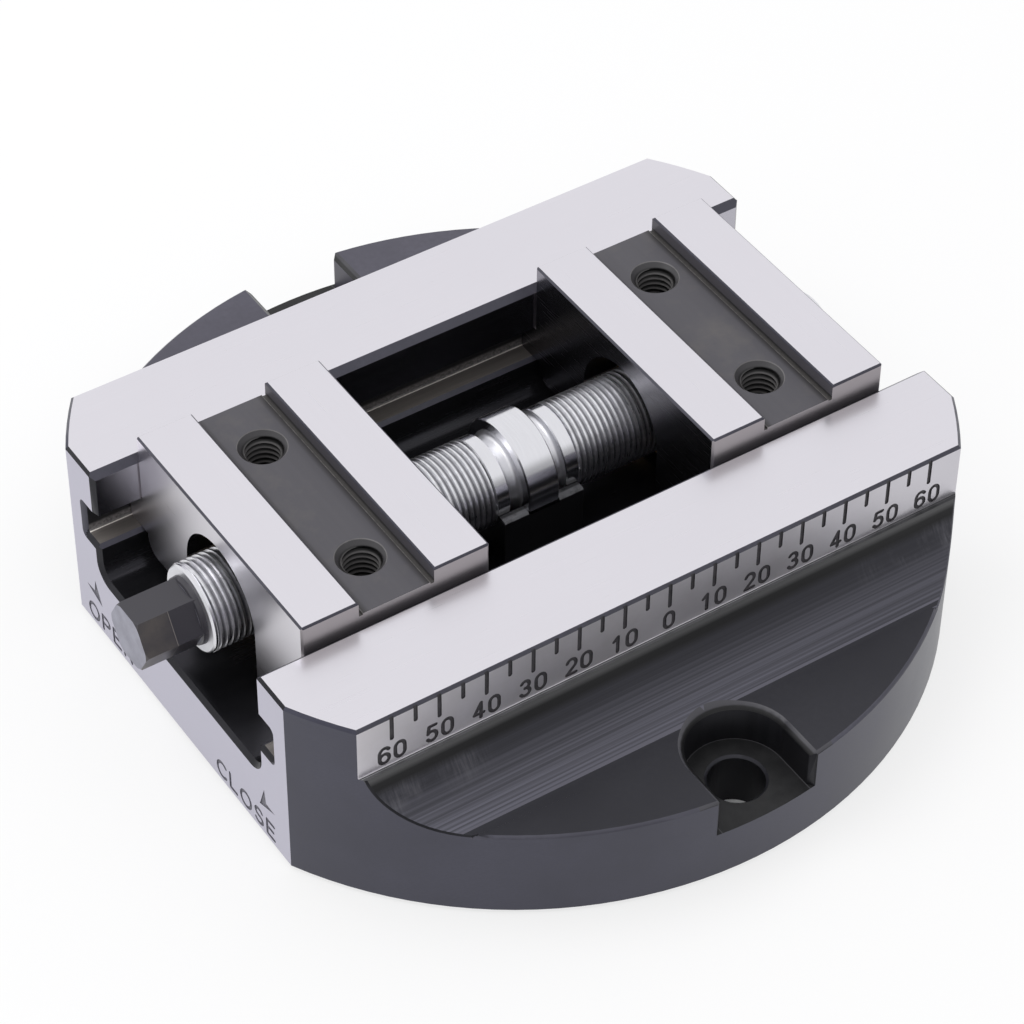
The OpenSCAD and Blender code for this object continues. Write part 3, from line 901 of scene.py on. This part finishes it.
# %% Bronze and bearing block
def bronze_finish():
    """Turned bronze: rings in colour and in roughness."""
    finish = Finish("nut_bronze", (0.62, 0.44, 0.20), 1.0, 0.3)
    rings = finish.lines(4500, 300, 300, contrast=1.6)
    finish.color(finish.blend(rings, (0.30, 0.20, 0.09), (0.46, 0.33, 0.17)))
    finish.roughness(rings, 0.22, 0.38)
    return finish.done()


def bearing_finish(strip=1.4):
    """Black, with painted light in clouds where a place is both high and within a strip of the
    cheeks' outside.
    """
    finish = Finish("bearing_block", (0.02, 0.02, 0.021), 0.0, 0.3)
    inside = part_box("centre_bearing")[1].y / MM - strip
    # painted light on top of the cheeks, broken up by clouds
    wear_and_painted_light = finish.times(finish.ramp(finish.side("Y"), inside, inside + 0.2),
                        finish.ramp(finish.axis("Z"), 29.3, 29.6), finish.cloud(420, 0.30, 0.50))
    finish.color(finish.blend(wear_and_painted_light, (0.008, 0.008, 0.009), (0.10, 0.10, 0.108)))
    finish.roughness(wear_and_painted_light, 0.28, 0.4)
    return finish.done()


nut_bronze, bearing_block = bronze_finish(), bearing_finish()
print(len(bpy.data.materials), "finishes ready")

# %% [markdown]
# ### Finishes by rules
# On the real pieces the finish follows the order of work: what is ground last is bright, and what
# no wheel reaches stays black. Here each finish gets a mask over all faces, worked out as arrays
# from their centres and normals, and the masks are laid on in the order of that work.

# %% Hand out finishes by rules
FACING = 0.98        # a face looks along an axis where its normal's part is over this


def near(values, at, within=0.02):
    """Where an array lies close to a number."""
    return np.abs(values - at) < within


def between(values, low, high):
    """Where an array lies inside an open range."""
    return (values > low) & (values < high)


def dress(piece, finishes, *rules):
    """Gives each face a finish. Faces start with the first one, and each rule is a mask over the
    faces and a finish. A later rule goes over an earlier one."""
    mesh = piece.data
    mesh.materials.clear()
    for material in finishes:
        mesh.materials.append(material)
    pick = np.zeros(len(mesh.polygons), np.int32)
    for mask, material in rules:
        pick[mask] = finishes.index(material)
    mesh.polygons.foreach_set("material_index", pick)
    print(piece.name, "faces of each finish:", np.bincount(pick, minlength=len(finishes)).tolist())


# %% [markdown]
# ## The body
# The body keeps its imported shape. Its copy is joined into whole faces, gets broken edges where the
# coves run out, and is engraved with the scale. A real scale is cut with its rail clamped level,
# so all marks are equally deep, and one exact boolean with one cutter does the same.

# %% Broken edges at the cove's ends
def break_cove_ends(piece, size):
    """Bevels the edges where a cove runs out through the round rim, as a file breaks them."""
    work = bmesh.new()
    work.from_mesh(piece.data)

    def off_radius(u, v, radius):
        return abs(math.hypot(u, v) - radius)

    def in_cove(face):
        at = face.calc_center_median() / MM
        return (abs(face.normal.x) < 0.01
                and off_radius(abs(at.y) - COVE_Y, at.z - COVE_Z, COVE_RADIUS) < 0.3)

    def on_rim(face):
        at = face.calc_center_median() / MM
        return abs(face.normal.z) < 0.01 and off_radius(at.x, at.y, BLANK_RADIUS) < 0.3

    ends = [edge for edge in work.edges if len(edge.link_faces) == 2
            and any(map(in_cove, edge.link_faces)) and any(map(on_rim, edge.link_faces))]
    bmesh.ops.bevel(work, geom=ends, offset=size * MM, affect="EDGES", segments=1, profile=0.5)
    work.to_mesh(piece.data)
    work.free()
    print("edges broken at the coves' ends:", len(ends))


body = merged_copy("vise_body", "body_engraved", "base")
break_cove_ends(body, 0.3)

# %% Scale marks and numbers on the near rail
def scale_shapes(last=60, step=5, top=44.5, feet=(37.8, 39.7)):
    """Ticks every 5 mm from above the rail's edge, long ones with a number every 10 mm, counted
    both ways from the middle."""
    shapes = []
    for at in range(-last, last + 1, step):
        numbered = at % (2 * step) == 0
        foot = feet[0] if numbered else feet[1]
        shapes.append(capsule((at, top), (at, foot), width=0.88, tip=8))
        if numbered:
            half = 3.05 if abs(at) > 9 else 1.4
            shapes += write(str(abs(at)), at - half, at + half, base=31.85, height=4.6,
                            width=0.8, narrow=0.725)
    return shapes


cut(body, stamp("scale_cutter", scale_shapes(), lambda s, t, h: np.c_[s, -SCALE_Y - h, t],
                depth=0.25))

# %% [markdown]
# ### Direction words
# Below the hexagon two words and two arrowheads say which way to turn, like ON and OFF on a
# switch. They are cut as the scale is, only less deep, from the same pen paths. An arrowhead is
# two flat triangles, and the flat join wants all outlines to run counter-clockwise.

# %% Words and arrowheads on the hexagon's end
def arrow(tip, corner_a, notch, corner_b):
    """A solid arrowhead with a hollow back."""
    return [np.array([tip, corner_a, notch]), np.array([tip, notch, corner_b])]


def turned_ccw(shape):
    """The same outline, counter-clockwise: its area s * t' - s' * t comes out positive."""
    s, t = shape.T
    area = np.sum(s * np.roll(t, -1) - np.roll(s, -1) * t)
    return shape if area > 0 else shape[::-1]


word = {"base": 1.8, "height": 4.55, "width": 0.78}
end_shapes = write("OPEN", -36.5, -19.2, **word) + write("CLOSE", 13.1, 34.6, **word)
end_shapes += arrow((-30.5, 8.4), (-32.7, 13.9), (-33.2, 10.7), (-36.3, 10.4))
end_shapes += arrow((29.3, 8.2), (31.2, 13.6), (31.7, 10.2), (34.8, 10.0))
cut(body, stamp("end_cutter", [turned_ccw(shape) for shape in end_shapes],
                lambda s, t, h: np.c_[-END_X - h, -s, t], depth=0.2))

# %% [markdown]
# ### Finishes of the body
# Rail tops, scale faces and ends are ground after blackening, so their chamfers stay black, which
# draws the dark lines round all bright faces. Faces could be picked by hand in edit mode, but
# rules on their centres and normals still hold when the CAD model is packed anew.

# %% Finish each face of the body by its place
def dress_body(piece):
    """Rules on |x|, |y|, z of the centres (mm) and |nx|, |ny|, nz of the normals."""
    clean_mesh(piece.data, outwards=False)
    c, n = face_data(piece.data)
    x, y, z = np.abs(c[:, 0]), np.abs(c[:, 1]), c[:, 2]
    nx, ny, nz = np.abs(n[:, 0]), np.abs(n[:, 1]), n[:, 2]
    inside, rear, up = x < END_X - 0.1, c[:, 1] > 60, nz > FACING
    slanted = (nx < FACING) & (ny < FACING) & (np.abs(nz) < FACING)
    rim = (nx * x + ny * y) / np.hypot(x, y) > 0.9985
    cove = (near(np.hypot(y - COVE_Y, z - COVE_Z), COVE_RADIUS, 0.25) & between(y, 52.4, 66.9))
    cove_end = cove & (nx > 0.05) & (np.abs(nz) > 0.05)
    flange = up & near(z, FLANGE_TOP, 0.05) & (y > 60)
    by_clamp = (x < 14) & (y > 55)
    clamp = by_clamp & (z < 20.2) & (np.hypot(x, y) < BLANK_RADIUS - 0.5) & (np.abs(nz) < 0.2)
    clamp |= by_clamp & (z < 13) & ~rim & (nz > -0.5)
    scale_cut = between(c[:, 1], -SCALE_Y + 0.01, -SCALE_Y + 0.3) & (x < 64) & (z > 31.5)
    word_cut = between(c[:, 0], -END_X + 0.01, -END_X + 0.25) & between(z, 1.5, 15) & (y < 38)
    dress(piece, [oxide, ground_x, rail_wall, oxide_cove, oxide_flange, oxide_edge, oxide_inside,
                  engraved, scale_face, guide_ledge, etched, end_face, slot_wall, slot_floor,
                  oxide_rear_painted_light, scale_ledge, clamp_rim],
          # chamfers of the scale faces and flat ends
          (slanted & ~rim & (z > 15) & ((y > 51) | (x > 73.9)), oxide_edge),
          # inside of the guide, then the grooves in its walls
          ((y < GUIDE_Y - 0.03) & inside & between(z, 10, RAIL_TOP + 0.05), oxide_inside),
          (between(y, GUIDE_Y - 0.03, 35.2) & (z < RAIL_TOP) & inside, oxide_inside),
          # chamfers along the guide's mouth and along its ledge
          (slanted & between(y, 29.9, 31.6) & (z > 41.9), oxide_edge),
          (slanted & between(y, 29.9, 30.9) & between(z, 24, 25), oxide_edge),
          # walls and ledges that the carriages rub
          (near(y, GUIDE_Y) & (z > 32.5), rail_wall),
          (between(y, 30.7, 35.1) & (nz > -0.5) & between(z, 24.8, 32.5) & (nx < 0.02),
           guide_ledge),
          # coves, and their broken ends; at the hexagon's side these get the black slot_wall as
          # painted shadow
          (cove, oxide_cove),
          (cove_end, oxide_edge),
          (cove_end & (c[:, 0] < 0), slot_wall),
          # flange, its part behind the far rail painted lighter as painted light, and the scale's
          # ledge
          (flange, oxide_flange),
          (flange & rear, oxide_rear_painted_light),
          (up & near(z, 31.4, 0.1) & between(y, 51.9, 53.3), scale_ledge),
          # clamping slots: rim, walls, floor and the chamfer below
          (slanted & ~rim & (x < 14) & (y > 60) & between(z, 13, 23) & (nx > 0.02), clamp_rim),
          (clamp, slot_wall),
          # the rear walls of the slots get the lighter oxide as painted light
          (clamp & rear, oxide_rear_painted_light),
          (clamp & up, slot_floor),
          (clamp & near(nz, 0.707, 0.1) & (z > 11.4), oxide_flange),
          # ground last: rail tops, scale faces, ends and underside
          (up & (z > RAIL_TOP), ground_x),
          ((ny > FACING) & near(y, SCALE_Y), scale_face),
          ((nx > FACING) & near(x, END_X), end_face),
          ((nz < -FACING) & (z < 0.02), ground_x),
          # marks
          (scale_cut & ((z < 42.85) | (ny > FACING) | (nx > 0.9)), engraved),
          (word_cut, etched))
    true_normals(piece, round_blank, round_cove)


dress_body(body)

# %% [markdown]
# ## The carriages
# Each carriage is a ground block with a blackened key slot across it and two M8 holes for the
# jaw's screws. A bump could draw their threads, but it can't give the ragged edge at the mouth. So
# they are cut with a tap: a solid with the shape of the thread and of its countersink.

# %% A tap for one jaw screw hole
def tap_shell(x, y, mouth=46.0, proud=0.6, depth=10.3, crest=4.03, root=3.42, sink=4.92):
    """A threaded plug from proud of the key slot's floor down to its depth. Its countersink is a
    cone, radius = sink - depth below the floor."""
    def limit(along):
        cone = sink - along
        return np.maximum(cone, root), np.maximum(cone, crest + 0.02)

    points, faces = threaded(-proud, depth, PITCH, limit, crest, root, columns=48)
    along, radius, angle = points.T
    return np.c_[x + radius * np.cos(angle), y + radius * np.sin(angle), mouth - along], faces


# %% Dress a carriage
def dress_carriage(piece, side):
    """Rules as for the body, with x outwards from the vise's middle; side is -1 or 1."""
    clean_mesh(piece.data, outwards=False)
    c, n = face_data(piece.data)
    x, y, z = c[:, 0] * side, np.abs(c[:, 1]), c[:, 2]
    nx, ny, nz = n[:, 0] * side, np.abs(n[:, 1]), n[:, 2]
    slanted = (np.abs(nx) < FACING) & (ny < FACING) & (np.abs(nz) < FACING)
    in_slot = near(x, HOLE_X, 8.1) & between(z, 35, 48.6) & (y < 29.9)
    hole = (np.hypot(x - HOLE_X, y - HOLE_Y) < 5.0) & between(z, 34, 45.99)
    nut_bore = (np.hypot(y, z - SPINDLE_Z) < 12.6) & between(x, 25.2, 64.8)
    dress(piece, [guide_face, ground_y, key_slot, inner_face, oxide_edge, oxide_inside, tapped],
          # top, sides and outer end are ground
          ((nz > FACING) & (z > 48.9), ground_y),
          ((ny > FACING) & between(y, 29.8, 30), guide_face),
          ((nx > FACING) & (x > 64.9), ground_y),
          # key slot, the face towards the bearing, chamfers, holes and bore
          (in_slot & (ny < FACING), key_slot),
          ((nx < -FACING) & (x < 25.1), inner_face),
          (slanted & (z > 48), oxide_edge),
          (hole, tapped),
          (nut_bore, oxide_inside))
    true_normals(piece)


for label, side in (("left", -1), ("right", 1)):
    carriage = merged_copy(label + "_carriage", label + "_carriage_tapped", label + "_slide")
    tap = make_piece("tap", *join_shells(*[tap_shell(side * HOLE_X, y) for y in (-HOLE_Y, HOLE_Y)]))
    clean_mesh(tap.data, merge=1e-6)
    cut(carriage, tap)
    dress_carriage(carriage, side)

# %% [markdown]
# ## The spindle
# One bar with a left hand thread to the hexagon's side and a right hand thread to the other, and
# a plain middle with the thrust collar between two grooves. Each part is its own closed shell,
# and neighbouring shells share an end inside the metal. The left thread is the right one mirrored.

# %% The plain middle and the threads
CREST, ROOT, COLLAR = 9.0, 8.32, 11.0        # radii
corner, rim = 0.9, 8.4                       # of the grooves' round corners


def thread_limit(along):
    """Radius range of the spindle's thread, whose ends stay inside the plain lands."""
    return np.full(along.shape, 8.0), np.full(along.shape, CREST)


groove = [(3.5 + corner * (1 - math.sin(t)), rim - corner * math.cos(t))
          for t in np.linspace(1.57, 0, 7)]
groove += [(5.5 + corner * math.sin(t), rim - corner * math.cos(t))
           for t in np.linspace(0, 1.57, 7)]
middle_half = [(0, COLLAR), (3.2, COLLAR), (3.5, COLLAR - 0.3)] + groove
middle_half += [(6.4, 8.8), (6.6, CREST), (9.2, CREST), (9.4, 8.8), (9.4, 8.2)]
middle = [(-a, r) for a, r in middle_half[::-1]] + middle_half[1:]
end_land = [(70.5, 8.2), (70.5, 8.8), (70.6, 8.92), (71.1, 8.92), (71.5, 8.52)]
left_land = [(-a, r) for a, r in end_land[::-1]]
right_points, thread_faces = threaded(9.3, 70.6, PITCH, thread_limit, CREST, ROOT)
left_points = right_points * np.array([-1, 1, 1])
points, faces = join_shells(turned(middle, 128), turned(end_land), turned(left_land),
                            (right_points, thread_faces),
                            (left_points, [face[::-1] for face in thread_faces]))
spindle = make_piece("spindle_threaded", about_x(points), faces, "spindle", "spindle_steel")
clean_mesh(spindle.data, merge=1e-6, crisp=28)
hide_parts("spindle")

# %% Finish of the spindle's shells
along = np.abs(face_data(spindle.data)[0][:, 0])
dress(spindle, [thread_steel, collar_steel], ((along < 9.25) | (along > 70.55), collar_steel))

# %% [markdown]
# ### The hexagon's shape
# A hexagon is milled on the bar and its end is turned to a small chamfer, which leaves a curved
# edge on each flat. A six-sided prism with a bevel would miss that curve. It comes out by itself
# where the radius at every angle and place is the smaller one of flat and cone.

# %% The hexagon with its turned chamfer
def hexagon_shell(root=-71.3, rings=(-78.0, -81.0), tip=-84.5, across=12.0, chamfer=0.5,
                  columns=144):
    """Radius at an angle = half the width over flats / cos(angle from the flat's middle), and
    never above the chamfer's cone, whose radius grows by 1 mm for each mm from the tip."""
    sixth = np.pi / 3
    angle = np.arange(columns) / columns * 2 * np.pi
    flat = across / 2 / np.cos((angle + sixth / 2) % sixth - sixth / 2)
    along = np.array([root, *rings, *(tip + chamfer * np.linspace(1.0, 0, 9))])
    cone = across / 2 / np.cos(sixth / 2) - chamfer + (along - tip)
    return swept(np.repeat(along[:, None], columns, 1), np.minimum(flat[None, :], cone[:, None]))


neck = turned([(-72.7, 6.3), (-72.5, 6.8), (-71.4, 6.95), (-71.3, 6.5)])
points, faces = join_shells(hexagon_shell(), neck)
hexagon = make_piece("spindle_hexagon", about_x(points), faces, "spindle", "spindle_steel")
clean_mesh(hexagon.data, merge=1e-6, crisp=20)
dress(hexagon, [hexagon_black, spindle_end],
      (face_data(hexagon.data)[1][:, 0] < -FACING, spindle_end))

# %% [markdown]
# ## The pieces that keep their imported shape
# Nuts, pins, screws, dowels and the bearing block are plain turned and milled pieces, mostly
# hidden. They could be built anew, but they are right as packed and only get a finish.

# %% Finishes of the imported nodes
for node, material in {"centre_bearing": bearing_block, "bearing_screws": screw_black,
                       "bearing_dowels": pin_steel, "left_nut": nut_bronze,
                       "right_nut": nut_bronze, "left_nut_pins": pin_steel,
                       "right_nut_pins": pin_steel}.items():
    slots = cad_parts[node].data.materials
    slots.clear()
    slots.append(material)
    print(node, "is finished in", material.name)

# %% [markdown]
# ## Floor, light and background
# The photograph is a cut-out on white. The floor here is white to the camera and still keeps the
# vise's soft shadow: part of it glows for camera rays, and the rest is plain white paint. A wholly
# glowing floor would hide the shadow. Under the clamping slots' ends nothing glows, so that the
# holes there stay dark.

# %% Floor
def white_floor(glow_share=0.72, hole=6.0):
    """White paint mixed with a glow of strength 1 that camera and mirror rays see. The glow stops
    where (|x|, |y|, z) is within hole mm of (0, CLAMP_Y, 0)."""
    material = bpy.data.materials.new("floor_white")
    material.use_nodes = True
    tree = material.node_tree
    tree.nodes.clear()

    def maths(kind, operation, *values, output=0):
        return add_node(tree, kind, *values, operation=operation).outputs[output]

    rays = add_node(tree, "LightPath").outputs
    seen = maths("Math", "MAXIMUM", rays["Is Camera Ray"], rays["Is Glossy Ray"])
    folded = maths("VectorMath", "ABSOLUTE", add_node(tree, "TexCoord").outputs["Object"])
    from_hole = maths("VectorMath", "SUBTRACT", folded, (0, CLAMP_Y * MM, 0))
    radius = maths("VectorMath", "LENGTH", from_hole, output="Value")
    clear = maths("Math", "MULTIPLY", seen, maths("Math", "GREATER_THAN", radius, hole * MM))
    share = maths("Math", "MULTIPLY", clear, glow_share)
    paint = add_node(tree, "BsdfDiffuse", Color=(0.88, 0.88, 0.88, 1))
    glow = add_node(tree, "Emission", Color=(1, 1, 1, 1), Strength=1.0)
    mix = add_node(tree, "MixShader", share, paint.outputs[0], glow.outputs[0])
    add_node(tree, "OutputMaterial", mix.outputs[0])
    return material


REACH, UNDER = 3000.0, -0.05
floor = make_piece("floor", [(x, y, UNDER) for x, y in ((-REACH, -REACH), (REACH, -REACH),
                                                       (REACH, REACH), (-REACH, REACH))],
                   [(0, 1, 2, 3)])
floor.data.materials.append(white_floor())
print("floor", 2 * REACH * MM, "m wide")

# %% [markdown]
# ### Light
# Bright metal on white is lit by a tent. Panels round the vise could make one, but a world whose
# brightness depends on the direction gives the same reflections and leaves the scene empty. It is
# a little darker low in front, where a tent has its opening for the camera. One soft lamp over the
# back left gives the shadow its direction.

# %% World
world = bpy.data.worlds.new("tent")
world.use_nodes = True
bpy.context.scene.world = world
sky = world.node_tree
sky.nodes.clear()
direction = add_node(sky, "TexCoord").outputs["Generated"]
part = add_node(sky, "SeparateXYZ", direction).outputs
front = add_node(sky, "MapRange", Value=part["Y"], From_Min=-0.9, From_Max=0.1, To_Min=0.45,
                 To_Max=1.0)
high = add_node(sky, "MapRange", Value=part["Z"], From_Min=0.15, From_Max=0.6)
tent = add_node(sky, "Math", front.outputs["Result"], high.outputs["Result"], operation="MAXIMUM")
level = add_node(sky, "Math", tent.outputs[0], add_node(sky, "LightPath").outputs["Is Camera Ray"],
                 operation="MAXIMUM")
glow = add_node(sky, "Background", Color=(0.985, 0.985, 1.0, 1), Strength=level.outputs[0])
add_node(sky, "OutputWorld", glow.outputs[0])
print("world", world.name, "has", len(sky.nodes), "nodes")

# %% Soft lamp
lamp_data = bpy.data.lights.new("soft_lamp", "AREA")
lamp_data.shape = "DISK"
lamp_data.size = 0.9
lamp_data.energy = 4.0
lamp = place("soft_lamp", lamp_data)
lamp.location = (-0.5, 0.35, 1.1)
lamp.rotation_euler = (Vector((0, 0, 0.02)) - lamp.location).to_track_quat("-Z", "Y").to_euler()
print("lamp", lamp_data.size, "m wide,", round(lamp.location.length, 2), "m away")
